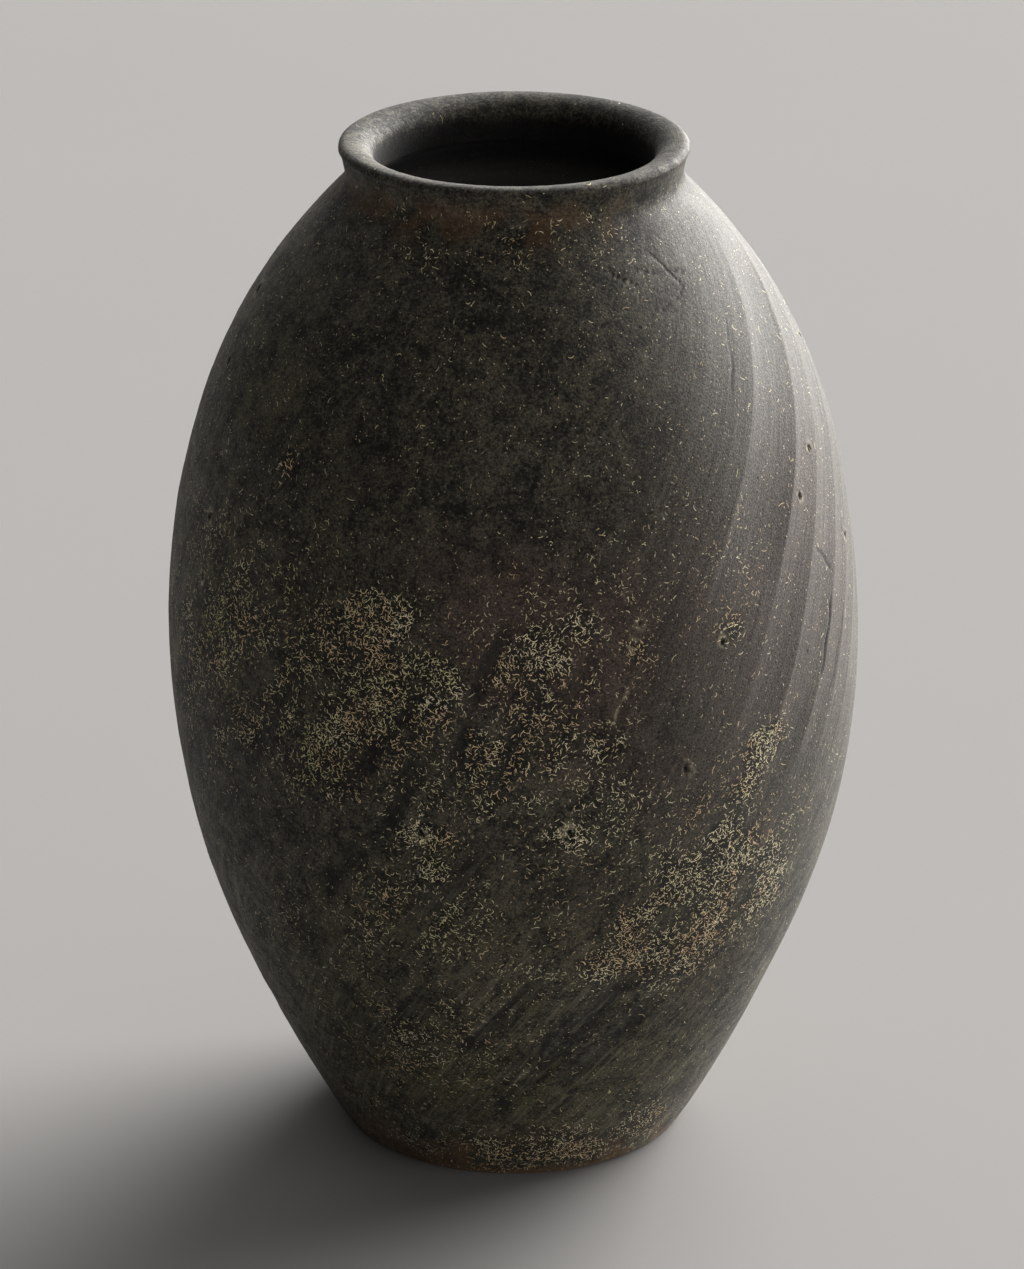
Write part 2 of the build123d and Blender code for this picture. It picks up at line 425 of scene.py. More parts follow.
# Patches where the surface has worn down to pale plant fibres: azimuth, height, half width in degrees, half
# height in millimetres, turn in degrees, strength.
PATCHES = [
    (-26.0, 285, 36.0, 62, 0, 0.50), (4.0, 292, 20.0, 52, -20, 0.50), (34.0, 190, 24.0, 66, -25, 0.42),
    (-12.0, 150, 46.0, 75, 0, 0.30), (-20.0, 90, 30.0, 50, 0, 0.30), (20.0, 330, 30.0, 60, -20, 0.26),
    (0.0, 18, 52.0, 22, 0, 0.45), (-55.0, 300, 26.0, 90, 0, 0.38), (10.0, 230, 26.0, 40, -20, 0.28),
    (-23.0, 328, 6.5, 17, -10, 1.0), (-12.5, 309, 9.0, 11, 10, 1.0), (-18.0, 288, 10.0, 26, -25, 0.95),
    (-31.0, 278, 8.0, 30, -20, 0.75), (-27.0, 250, 7.0, 22, -20, 0.6), (-40.0, 280, 7.0, 26, -10, 0.7),
    (-50.0, 330, 4.5, 18, 0, 0.8), (-55.0, 292, 8.0, 30, 0, 0.6), (-66.0, 285, 9.0, 45, 0, 0.5),
    (-49.0, 262, 7.0, 22, 0, 0.5), (5.0, 318, 5.0, 16, -25, 0.95), (12.0, 328, 4.0, 12, -20, 1.0),
    (4.0, 290, 9.0, 26, -25, 0.85), (14.0, 275, 4.5, 16, -20, 0.8), (-4.0, 268, 6.0, 20, -25, 0.75),
    (-15.2, 224, 5.5, 9, 0, 0.8), (8.9, 226, 4.0, 9, 0, 0.8), (-13.0, 205, 4.0, 8, 20, 0.8),
    (0.0, 243, 9.0, 12, 0, 0.5), (44.0, 254, 6.5, 12, -10, 1.0), (40.0, 235, 6.0, 12, -15, 0.6),
    (38.0, 200, 6.5, 24, -28, 0.9), (30.0, 190, 8.0, 20, -25, 0.75), (22.5, 172, 8.0, 20, -20, 0.95),
    (33.0, 155, 12.0, 26, -25, 0.8), (19.0, 150, 7.0, 14, -20, 0.85), (48.0, 170, 9.0, 34, -25, 0.6),
    (-24.0, 108, 8.0, 10, 20, 0.75), (-14.0, 120, 8.0, 9, 15, 0.6), (-31.0, 140, 9.0, 12, 0, 0.35),
    (-12.0, 22, 18.0, 12, 0, 0.7), (14.0, 16, 16.0, 9, 0, 0.9), (36.0, 28, 14.0, 12, 10, 0.8),
    (-38.0, 38, 14.0, 14, 0, 0.4), (19.0, 318, 3.0, 10, 0, 0.6), (37.0, 318, 3.5, 12, 0, 0.6),
    (-45.0, 392, 2.5, 12, 0, 0.5), (2.0, 497, 26.0, 3.5, 0, 0.33), (30.0, 492, 10.0, 6, 0, 0.30),
    (-30.0, 488, 14.0, 8, 0, 0.35), (-22.0, 505, 24.0, 6, 0, 0.36), (16.0, 503, 14.0, 5, 0, 0.36),
    (-2.0, 490, 22.0, 7, 0, 0.35),
]


def random_patches(count):
    made = []
    for _ in range(count):
        made.append((rng.uniform(106.0, 285.0), rng.uniform(20.0, 350.0), rng.uniform(4.0, 11.0),
                     rng.uniform(10.0, 30.0), rng.uniform(-30.0, 5.0), rng.uniform(0.20, 0.55)))
    return made


def patch(azimuth, height, spec):
    """One worn patch: 1 in its middle, falling to 0 at its edge."""
    scale = math.radians(1.0) * float(wall_radius(0.0, spec[1]))
    across = around_distance(azimuth, spec[0]) * scale
    up = height - spec[1]
    turn = math.radians(spec[4])
    u = (across * math.cos(turn) - up * math.sin(turn)) / (spec[2] * scale)
    v = (across * math.sin(turn) + up * math.cos(turn)) / spec[3]
    return spec[5] * (1.0 - smoothstep(0.0, 1.6, np.hypot(u, v)))


def grid_points(path, azimuth):
    """The plain jar's surface: a ring of points for every point of the path."""
    turn = np.radians(azimuth)
    radius = path[:, 0][:, None]
    height = np.broadcast_to(path[:, 1][:, None], azimuth.shape)
    return np.stack([radius * np.sin(turn), -radius * np.cos(turn), height], axis=2)


def wall_relief(points, azimuth, radius, height):
    """Relief of the outside of the wall, with the masks that the clay's colours need."""
    gouges = [*GOUGES, *random_gouges(RANDOM_GOUGES)]
    pits = [*PITS, *random_pits(RANDOM_PITS)]
    patches = [*PATCHES, *random_patches(RANDOM_PATCHES)]
    relief = 0.75 * noise(points, 95.0, 1) + 0.35 * noise(points, 42.0, 2)
    relief += strips(azimuth, radius, height)
    stroke_turn = np.radians(azimuth - lean(height))
    stroke_points = np.stack([radius * np.sin(stroke_turn), radius * np.cos(stroke_turn), height * 0.16],
                             axis=2)
    relief += 0.06 * noise(stroke_points, 6.5, 3) + 0.035 * noise(stroke_points, 3.2, 4)
    relief += 0.09 * rough_noise(points, 15.0, 5, 3) * (1.0 - 0.6 * smoothstep(40.0, 110.0, points[..., 0]))
    wiped = np.zeros_like(azimuth)
    for spec in gouges:
        window = near(azimuth, height, spec)
        height_change, core = gouge(azimuth[window], height[window], spec)
        relief[window] += height_change
        wiped[window] = np.maximum(wiped[window], core * min(1.0, spec[5] / 0.7))
    # Pits and dark cracks go into a mask that paints them near black: painted shade in the hollows.
    hole = np.zeros_like(azimuth)
    hole_rim = np.zeros_like(azimuth)
    for spec in pits:
        window = near(azimuth, height, spec)
        core, rim = pit(azimuth[window], height[window], spec)
        relief[window] -= spec[3] * core - 0.25 * rim
        hole[window] = np.maximum(hole[window], core)
        hole_rim[window] = np.maximum(hole_rim[window], rim)
    for spec in CRACKS:
        window = near(azimuth, height, spec)
        core = crack(azimuth[window], height[window], spec)
        relief[window] -= abs(spec[5]) * core
        mask, strength = (hole_rim, 1.3) if spec[5] < 0 else (hole, min(1.0, 1.2 * spec[5] + 0.3))
        mask[window] = np.maximum(mask[window], strength * core)
    worn = np.zeros_like(azimuth)
    for spec in patches:
        worn = np.maximum(worn, patch(azimuth, height, spec))
    edge = 0.42 * rough_noise(points, 24.0, 7, 4) + 0.3 * noise(stroke_points, 9.0, 9)
    worn = smoothstep(0.04, 0.98, worn * (1.0 + 1.3 * edge) + 0.12 * edge) * (1.0 - 0.85 * wiped)
    return relief, {"worn": worn, "wiped": wiped, "hole": hole, "hole_rim": hole_rim}


BROWN_CENTRE = (70.0, -150.0, 330.0)  # middle of the brown area on the right of the front
BROWN_SPREAD = (0.010, 0.007, 0.0120)  # how fast it fades, for each millimetre along each axis
EARTH_BAND_HEIGHT = 502.0  # middle of the band of earth under the lip


def colour_areas(points, height):
    """Masks for the soft areas of brown, olive, scraped clay with painted sheen, earth and fibre colour,
    broken up by noise.
    """
    x = points[..., 0]
    broad = rough_noise(points, 80.0, 3, 4)
    brown_distance = np.linalg.norm((points - BROWN_CENTRE) * BROWN_SPREAD, axis=2)
    brown = 0.85 * smoothstep(0.30, 0.75, 0.80 + 0.20 * broad - 0.30 * brown_distance)
    olive_side = smoothstep(-60.0, -165.0, x)
    olive_low = 0.75 * (1.0 - 0.65 * smoothstep(40.0, 130.0, x)) * smoothstep(250.0, 60.0, height)
    olive_low = olive_low * (0.3 + 0.7 * smoothstep(20.0, 60.0, height))
    olive = np.maximum(olive_side, olive_low) * smoothstep(-0.65, 0.10, rough_noise(points, 60.0, 8, 4))
    # Scraped right side: calmer mottling, and paler as painted sheen where the lights on the right fall.
    scraped_and_sheen = 0.85 * smoothstep(35.0, 115.0, x) * smoothstep(110.0, 330.0, height + 25.0 * broad)
    brown = brown * (1.0 - 0.6 * scraped_and_sheen)
    lumps = rough_noise(points, 13.0, 2, 4)
    foot = 0.55 * smoothstep(46.0, 4.0, height) * smoothstep(-0.35, 0.55, lumps)
    foot_edge = 0.85 * smoothstep(7.0, 1.0, height) * smoothstep(-0.4, 0.2, broad)
    collar = 0.30 * smoothstep(14.0, 3.0, np.abs(height - EARTH_BAND_HEIGHT)) * smoothstep(-0.4, 0.5, lumps)
    collar = collar * smoothstep(75.0, 20.0, x)
    greener = 0.25 + 0.75 * smoothstep(40.0, -110.0, x)
    greener = greener * smoothstep(-0.35, 0.3, rough_noise(points, 18.0, 5, 3))
    tan = smoothstep(-0.1, 0.42, rough_noise(points, 15.0, 9, 3))
    return {"brown": brown, "olive": olive, "scraped_and_sheen": scraped_and_sheen, "greener": greener, "tan": tan,
            "earth": np.maximum(np.maximum(foot, foot_edge), collar)}


THROAT_PAINTED_SHADE = 0.93  # how dark the painted shade in the throat is, from 0 to 1


def build_surface():
    """Every point of the jar's surface, its normal, and the colour masks, all on one grid of rings."""
    path, marks = build_path()
    azimuth = np.tile(np.linspace(-180.0, 180.0, AROUND, endpoint=False), (len(path), 1))
    plain = grid_points(path, azimuth)
    height = np.tile(path[:, 1][:, None], (1, AROUND))
    radius = np.tile(path[:, 0][:, None], (1, AROUND))

    tangent = np.gradient(path, axis=0)
    tangent /= np.linalg.norm(tangent, axis=1, keepdims=True)
    out_radius, out_height = tangent[:, 1][:, None], -tangent[:, 0][:, None]
    turn = np.radians(azimuth)
    outward = np.stack([out_radius * np.sin(turn), -out_radius * np.cos(turn),
                        np.broadcast_to(out_height, azimuth.shape)], axis=2)

    relief = np.zeros_like(azimuth)
    masks = {name: np.zeros_like(azimuth) for name in ("worn", "wiped", "hole", "hole_rim", "inside")}
    masks.update(colour_areas(plain, height))
    masks["earth"][np.argmax(path[:, 1]) - 8:] = 0.0
    wall_end = marks["outer shoulder_course"] + 12
    outside = slice(0, wall_end)
    wall, wall_masks = wall_relief(plain[outside], azimuth[outside], radius[outside], height[outside])
    fade = smoothstep(1.0, 9.0, height[outside]) * (1.0 - smoothstep(486.0, 503.0, height[outside]))
    relief[outside] = wall * fade
    for name, mask in wall_masks.items():
        masks[name][outside] = mask

    throat = marks["inner neck_collar"]
    rim = smoothstep(497.0, 507.0, height)
    rim[throat:] = 0.0
    unevenness = 0.45 * noise(plain, 60.0, 6) + 0.16 * noise(plain, 17.0, 8) + 0.05 * noise(plain, 3.0, 9)
    relief += rim * unevenness
    foot_edge = (height < 9.0) & (radius > 80.0) & (np.arange(len(path))[:, None] < marks["outer base_disc"])
    chips = 0.4 * noise(plain, 30.0, 10) + 0.35 * np.minimum(rough_noise(plain, 9.0, 11, 3), 0.0)
    relief += foot_edge * chips * smoothstep(0.0, 2.0, height)
    inside = slice(throat, marks["inner base_disc"])
    rings = np.sin(height[inside] * 0.9 + 2.0 * noise(plain[inside] * (0.3, 0.3, 1.0), 30.0, 2))
    relief[inside] = (0.5 * noise(plain[inside], 70.0, 3) + 0.18 * rings) * smoothstep(
        FLOOR + 2.0, FLOOR + 12.0, height[inside]) * (1.0 - smoothstep(490.0, 498.0, height[inside]))

    # The throat and the top of the inside are painted near black as painted shade, and the inside below it is
    # plain, paler clay.
    masks["inside"][inside] = smoothstep(500.0, 470.0, height[inside])
    neck = slice(marks["outer neck_collar"] + 20, throat + 1)
    inner_side = np.arange(neck.start, neck.stop)[:, None] > np.argmax(path[:, 1])
    throat_shade = inner_side * THROAT_PAINTED_SHADE * smoothstep(514.5, 507.0, height[neck])
    masks["hole"][neck] = np.maximum(masks["hole"][neck], throat_shade)
    masks["hole"][inside] = THROAT_PAINTED_SHADE * smoothstep(470.0, 494.0, height[inside])
    points = plain + outward * relief[..., None]
    points[..., 2] = np.where(height < 0.01, 0.0, points[..., 2])
    along = np.gradient(points, axis=0)
    round_ring = np.roll(points, -1, axis=1) - np.roll(points, 1, axis=1)
    normal = np.cross(round_ring, along)
    length = np.linalg.norm(normal, axis=2, keepdims=True)
    normal = np.where(length > 1e-9, normal / np.maximum(length, 1e-9), outward)
    return points, normal, masks, marks


# ---- Meshes ----

def joint_rows(start, end):
    """The rings of points across a hidden joint face, between two rings of the surface."""
    steps = np.linspace(0.0, 1.0, JOINT_ROWS + 2)[1:-1]
    return np.stack([start + (end - start) * t for t in steps])


def ring_faces(rows, closed):
    """Quads between neighbouring rings; closed joins the last ring to the first."""
    next_column = (np.arange(AROUND) + 1) % AROUND
    column = np.arange(AROUND)
    quads = []
    for row in range(rows if closed else rows - 1):
        above = (row + 1) % rows
        quads.append(np.stack([row * AROUND + column, row * AROUND + next_column,
                               above * AROUND + next_column, above * AROUND + column], axis=1))
    return np.vstack(quads)


def make_mesh(name, points, normals, masks, poles):
    """A closed mesh from rings of points. With poles, its two end rings shrink to points on the axis."""
    rows = len(points)
    vertices = points.reshape(-1, 3)
    vertex_normals = normals.reshape(-1, 3)
    quads = ring_faces(rows, closed=not poles)
    triangles = np.zeros((0, 3), int)
    flat_masks = {key: value.reshape(-1) for key, value in masks.items()}
    if poles:
        quads = quads[AROUND:-AROUND] - AROUND
        inner = vertices[AROUND:-AROUND]
        ends = np.array([vertices[0] * (0, 0, 1), vertices[-1] * (0, 0, 1)])
        bottom, top = len(inner), len(inner) + 1
        vertices = np.vstack([inner, ends])
        vertex_normals = np.vstack([vertex_normals[AROUND:-AROUND], [(0, 0, -1), (0, 0, 1)]])
        flat_masks = {key: np.append(value[AROUND:-AROUND], [0, 0]) for key, value in flat_masks.items()}
        column = np.arange(AROUND)
        next_column = (column + 1) % AROUND
        last = len(inner) - AROUND
        under = np.stack([np.full(AROUND, bottom), next_column, column], axis=1)
        over = np.stack([np.full(AROUND, top), last + column, last + next_column], axis=1)
        triangles = np.vstack([under, over])

    mesh = bpy.data.meshes.new(name)
    mesh.vertices.add(len(vertices))
    mesh.vertices.foreach_set("co", (vertices * MM).astype(np.float32).ravel())
    corners = np.concatenate([quads.ravel(), triangles.ravel()])
    starts = np.concatenate([np.arange(len(quads)) * 4, len(quads) * 4 + np.arange(len(triangles)) * 3])
    mesh.loops.add(len(corners))
    mesh.loops.foreach_set("vertex_index", corners.astype(np.int32))
    mesh.polygons.add(len(starts))
    mesh.polygons.foreach_set("loop_start", starts.astype(np.int32))
    mesh.update(calc_edges=True)
    mesh.validate()
    for key, value in flat_masks.items():
        mesh.attributes.new(key, "FLOAT", "POINT").data.foreach_set("value", value.astype(np.float32))
    mesh.shade_smooth()
    mesh.normals_split_custom_set_from_vertices(vertex_normals.astype(np.float32))
    return mesh


def build_pieces(materials):
    """One closed mesh for each piece of clay, all cut from the same surface, so that they meet exactly."""
    points, normals, masks, marks = build_surface()
    outer_marks = [0, *[marks["outer " + name] for name in PIECES[:-1]]]
    inner_marks = [marks["inner " + name] for name in reversed(PIECES)]
    for index, name in enumerate(PIECES):
        outside_start = outer_marks[index]
        inside_end = inner_marks[len(PIECES) - 1 - index]
        if name == "rim_lip":
            order = [slice(outside_start, inside_end + 1)]
        else:
            outside_end = outer_marks[index + 1]
            inside_start = inner_marks[len(PIECES) - 2 - index]
            order = [slice(outside_start, outside_end + 1), slice(inside_start, inside_end + 1)]
        blocks, block_normals = [], []
        block_masks = {key: [] for key in masks}

        def extend(rows, row_normals, row_masks):
            blocks.append(rows)
            block_normals.append(row_normals)
            for key in masks:
                block_masks[key].append(row_masks[key])

        for part, following in zip(order, [*order[1:], order[0]]):
            extend(points[part], normals[part], {key: masks[key][part] for key in masks})
            if name == "base_disc" and part is order[-1]:
                continue
            start, end = points[part.stop - 1], points[following.start]
            across = joint_rows(start, end)
            across_normal = np.cross(np.roll(start, -1, axis=0) - start, end - start)
            across_normal /= np.maximum(np.linalg.norm(across_normal, axis=1, keepdims=True), 1e-9)
            blank = np.zeros(across.shape[:2])
            extend(across, np.stack([across_normal] * len(across)), {key: blank for key in masks})
        mesh = make_mesh(name, np.concatenate(blocks), np.concatenate(block_normals),
                         {key: np.concatenate(value) for key, value in block_masks.items()},
                         poles=name == "base_disc")
        piece = bpy.data.objects.new("clay_" + name, mesh)
        bpy.context.scene.collection.objects.link(piece)
        piece.data.materials.append(materials[SLOTS[name]])
        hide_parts(name)
        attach(piece, "root")


# ---- Materials ----

class Tree:
    """Short names for the shader nodes that the clay needs."""

    def __init__(self, tree):
        self.tree = tree

    def node(self, kind, inputs=(), **settings):
        made = self.tree.nodes.new(kind)
        for key, value in settings.items():
            setattr(made, key, value)
        for socket, value in (inputs.items() if isinstance(inputs, dict) else enumerate(inputs)):
            if isinstance(value, bpy.types.NodeSocket):
                self.tree.links.new(value, made.inputs[socket])
            elif value is not None:
                made.inputs[socket].default_value = value
        return made

    def math(self, operation, *values):
        return self.node("ShaderNodeMath", values, operation=operation).outputs[0]

    def vector(self, operation, *values):
        made = self.node("ShaderNodeVectorMath", values, operation=operation)
        return made.outputs["Value" if operation in ("DOT_PRODUCT", "LENGTH") else "Vector"]

    def scaled(self, vector, factors):
        return self.vector("MULTIPLY", vector, factors)

    def add(self, a, b):
        return self.math("ADD", a, b)

    def times(self, a, b):
        return self.math("MULTIPLY", a, b)

    def swing(self, value, strength):
        """A noise value's distance from its middle, times a strength."""
        return self.times(self.math("SUBTRACT", value, 0.5), strength)

    def ramp(self, value, low_end, high_end, out_low=0.0, out_high=1.0, smooth=True):
        made = self.node("ShaderNodeMapRange", [value, low_end, high_end, out_low, out_high])
        made.interpolation_type = "SMOOTHSTEP" if smooth else "LINEAR"
        return made.outputs[0]

    def noise(self, vector, size, detail=3.0, roughness=0.55, distortion=0.0):
        made = self.node("ShaderNodeTexNoise", {"Vector": vector, "Scale": 1.0 / size, "Detail": detail,
                                                "Roughness": roughness, "Distortion": distortion})
        return made.outputs["Fac"]

    def mix(self, factor, a, b, blend="MIX"):
        made = self.node("ShaderNodeMix", data_type="RGBA", blend_type=blend, clamp_factor=True)
        for socket, value in ((0, factor), (6, a), (7, b)):
            if isinstance(value, bpy.types.NodeSocket):
                self.tree.links.new(value, made.inputs[socket])
            else:
                made.inputs[socket].default_value = value if socket == 0 else (*value, 1.0)
        return made.outputs[2]

    def attribute(self, name):
        return self.node("ShaderNodeAttribute", attribute_name=name, attribute_type="GEOMETRY").outputs["Fac"]


def fibre_group():
    """Node group: short curved strokes that lie in the surface, one in each cell of a random pattern.

    Each cell's stroke has its own direction, curl and length. Cover is the share of cells that have one."""
    group = bpy.data.node_groups.new("fibre_strokes", "ShaderNodeTree")
    sockets = (("Position", "NodeSocketVector"), ("Across", "NodeSocketVector"), ("Up", "NodeSocketVector"),
               ("Out", "NodeSocketVector"), ("Cell", "NodeSocketFloat"), ("Half length", "NodeSocketFloat"),
               ("Half width", "NodeSocketFloat"), ("Curl", "NodeSocketFloat"), ("Cover", "NodeSocketFloat"))
    for name, kind in sockets:
        group.interface.new_socket(name, in_out="INPUT", socket_type=kind)
    group.interface.new_socket("Mask", in_out="OUTPUT", socket_type="NodeSocketFloat")
    group.interface.new_socket("Pick", in_out="OUTPUT", socket_type="NodeSocketFloat")
    t = Tree(group)
    given = group.nodes.new("NodeGroupInput").outputs
    cells = t.node("ShaderNodeTexVoronoi", {"Vector": given["Position"],
                                            "Scale": t.math("DIVIDE", 1.0, given["Cell"]), "Randomness": 1.0})
    offset = t.vector("SUBTRACT", given["Position"], cells.outputs["Position"])
    random_values = t.node("ShaderNodeSeparateColor", [cells.outputs["Color"]]).outputs
    across = t.vector("DOT_PRODUCT", offset, given["Across"])
    up = t.vector("DOT_PRODUCT", offset, given["Up"])
    out = t.math("ABSOLUTE", t.vector("DOT_PRODUCT", offset, given["Out"]))
    turn = t.times(random_values[0], math.tau)
    cosine, sine = t.math("COSINE", turn), t.math("SINE", turn)
    along = t.add(t.times(across, cosine), t.times(up, sine))
    side = t.math("SUBTRACT", t.times(up, cosine), t.times(across, sine))
    curl = t.times(t.math("SUBTRACT", random_values[1], 0.5), given["Curl"])
    side = t.math("SUBTRACT", side, t.times(curl, t.times(along, along)))
    reach = t.times(given["Half length"], t.ramp(random_values[2], 0.0, 1.0, 0.35, 1.1, smooth=False))
    length_mask = t.ramp(t.math("DIVIDE", t.math("ABSOLUTE", along), reach), 0.7, 1.0, 1.0, 0.0)
    half_width = t.times(given["Half width"], t.ramp(random_values[1], 0.0, 1.0, 0.6, 1.15, smooth=False))
    width_mask = t.ramp(t.math("DIVIDE", t.math("ABSOLUTE", side), half_width), 0.55, 1.1, 1.0, 0.0)
    depth_mask = t.math("LESS_THAN", out, t.times(given["Cell"], 0.3))
    pick = t.node("ShaderNodeTexWhiteNoise", {"Vector": cells.outputs["Position"]}).outputs["Value"]
    chosen = t.math("LESS_THAN", pick, given["Cover"])
    mask = t.times(t.times(length_mask, width_mask), t.times(depth_mask, chosen))
    made = group.nodes.new("NodeGroupOutput")
    group.links.new(mask, made.inputs["Mask"])
    group.links.new(random_values[2], made.inputs["Pick"])
    return group


# Fibre layers: cell size, half length and half width (mm), curl, cover on bare clay, cover in a worn patch.
# The fibres are colour only: with them in the bump too, the shader is too large and the jar renders black.
FIBRE_LAYERS = [
    (2.4, 1.50, 0.21, 1.0, 0.010, 1.00),
    (2.9, 1.85, 0.22, 0.9, 0.016, 1.00),
    (2.1, 1.25, 0.20, 1.3, 0.012, 1.00),
    (2.5, 1.60, 0.21, 1.1, 0.010, 1.00),
    (1.7, 0.90, 0.20, 1.4, 0.015, 0.90),
    (1.3, 0.36, 0.27, 0.5, 0.100, 0.50),
    (5.6, 2.40, 0.18, 0.4, 0.070, 0.60),
]

CLAY_DARK = (0.0045, 0.0041, 0.0030)
CLAY_LIGHT = (0.080, 0.0710, 0.0490)
CLAY_BROWN = (0.066, 0.0415, 0.0340)
CLAY_OLIVE = (0.070, 0.0640, 0.0140)
CLAY_SCUFFED = (0.15, 0.138, 0.102)
# Paler clay on the scraped right side: painted sheen.
CLAY_PAINTED_SHEEN = (0.098, 0.091, 0.083)
CLAY_GAP = (0.0045, 0.0040, 0.0026)
CLAY_INSIDE = (0.19, 0.185, 0.175)
FIBRE_CREAM = (0.95, 0.84, 0.56)
FIBRE_TAN = (0.84, 0.64, 0.38)
FIBRE_OLIVE = (0.70, 0.66, 0.32)
EARTH = (0.145, 0.075, 0.030)
# Near black for holes, dark cracks, pinholes and the throat: painted shade.
PAINTED_SHADE_BLACK = (0.002, 0.002, 0.002)
SPECULAR_LEVEL = 0.21
SHEEN_WEIGHT = 0.06
SHEEN_ROUGHNESS = 0.55
DULLEST, SMOOTHEST = 0.74, 0.56  # roughness of the darkest and the lightest clay


def clay_material(name, strokes, wheel):
    """Weathered black clay. Strokes and wheel say how strong the scraping and the turning lines are."""
    material = bpy.data.materials.new(name)
    material.use_nodes = True
    material.node_tree.nodes.clear()
    t = Tree(material.node_tree)

    place = t.node("ShaderNodeTexCoord").outputs["Object"]
    here = t.scaled(place, (1.0 / MM,) * 3)
    height = t.node("ShaderNodeSeparateXYZ", [here]).outputs[2]
    spoke = t.vector("NORMALIZE", t.scaled(here, (1.0, 1.0, 0.0)))
    out = t.node("ShaderNodeNewGeometry").outputs["Normal"]
    across = t.vector("NORMALIZE", t.vector("CROSS_PRODUCT", (0.0, 0.0, 1.0), spoke))
    up = t.vector("CROSS_PRODUCT", out, across)

    # Coordinates that stay the same along a scraping stroke, and ones that stay the same round the wheel.
    rise = t.math("SUBTRACT", height, LEAN_HEIGHT)
    bent = t.times(t.times(rise, rise), LEAN[1])
    bent = t.add(bent, t.times(t.times(rise, t.math("ABSOLUTE", rise)), LEAN[2]))
    lean_angle = t.add(t.times(rise, LEAN[0]), bent)
    unlean = t.times(lean_angle, -math.pi / 180.0)
    turned = t.node("ShaderNodeVectorRotate", {"Vector": spoke, "Angle": unlean}, rotation_type="Z_AXIS")
    level = turned.outputs[0]
    stroke_place = t.vector("ADD", t.scaled(level, (165.0, 165.0, 0.0)), t.scaled(here, (0.0, 0.0, 0.035)))
    wheel_place = t.vector("ADD", t.scaled(spoke, (5.0, 5.0, 0.0)), t.scaled(here, (0.0, 0.0, 1.0)))
    radius = t.vector("LENGTH", t.scaled(here, (1.0, 1.0, 0.0)))
    rim_place = t.vector("ADD", wheel_place, t.node("ShaderNodeCombineXYZ", [radius, 0.0, 0.0]).outputs[0])

    worn = t.attribute("worn")
    wiped = t.attribute("wiped")
    hole = t.attribute("hole")
    hole_rim = t.attribute("hole_rim")

    # Mottling at several sizes, and the lines of the scraping and the turning.
    cloud = t.noise(here, 24.0, 5.0, 0.62, 0.8)
    mottle = t.noise(here, 6.5, 4.0, 0.6, 0.5)
    grain = t.noise(here, 0.9, 2.0, 0.6)
    streak = t.noise(stroke_place, 2.4, 3.0, 0.6)
    turning = t.noise(rim_place, 0.7, 3.0, 0.6)
    speck = t.noise(here, 1.7, 3.0, 0.7)

    # Dark to light clay, calmer where it has been scraped and paler there as painted sheen on the lit right
    # side, with the brown and olive areas.
    tone = t.add(t.add(t.times(cloud, 0.27), t.times(mottle, 0.28)), t.times(speck, 0.45))
    scraped_and_sheen = t.times(t.attribute("scraped_and_sheen"), strokes)
    satin = t.add(t.times(streak, 0.26), t.add(t.times(speck, 0.14), 0.30))
    tone = t.add(tone, t.times(scraped_and_sheen, t.math("SUBTRACT", satin, tone)))
    colour = t.mix(t.ramp(tone, 0.40, 0.62), CLAY_DARK, CLAY_LIGHT)
    # Painted sheen: the scraped right side is mixed towards paler clay.
    colour = t.mix(t.times(scraped_and_sheen, 0.6), colour, CLAY_PAINTED_SHEEN)
    colour = t.mix(t.times(t.attribute("brown"), t.ramp(tone, 0.3, 0.6)), colour, CLAY_BROWN)
    colour = t.mix(t.times(t.attribute("olive"), t.ramp(tone, 0.38, 0.7)), colour, CLAY_OLIVE)
    lines = t.add(t.swing(streak, 0.7 * strokes), t.swing(turning, 1.3 * wheel))
    lines = t.add(lines, t.swing(grain, 4.0))
    shade = t.math("MAXIMUM", t.add(1.0, lines), 0.1)
    grey = t.node("ShaderNodeCombineColor", [shade, shade, shade]).outputs[0]
    colour = t.mix(1.0, colour, grey, "MULTIPLY")
    colour = t.mix(t.times(wiped, 0.65), colour, CLAY_DARK)

    # Brown earth rubbed into the foot and under the lip.
    colour = t.mix(t.attribute("earth"), colour, EARTH)

    # Pale scuffs that run along the strokes, mostly low on the jar.
    scuff_place = t.vector("ADD", t.scaled(level, (130.0, 130.0, 0.0)), t.scaled(here, (0.0, 0.0, 0.11)))
    scuff = t.times(t.ramp(t.noise(scuff_place, 3.0, 5.0, 0.68, 0.3), 0.46, 0.70), t.ramp(cloud, 0.36, 0.56))
    scuff_area = t.ramp(height, 70.0, 270.0, 0.85, 0.10)
    colour = t.mix(t.times(t.times(scuff, scuff_area), 0.85 * strokes), colour, CLAY_SCUFFED)

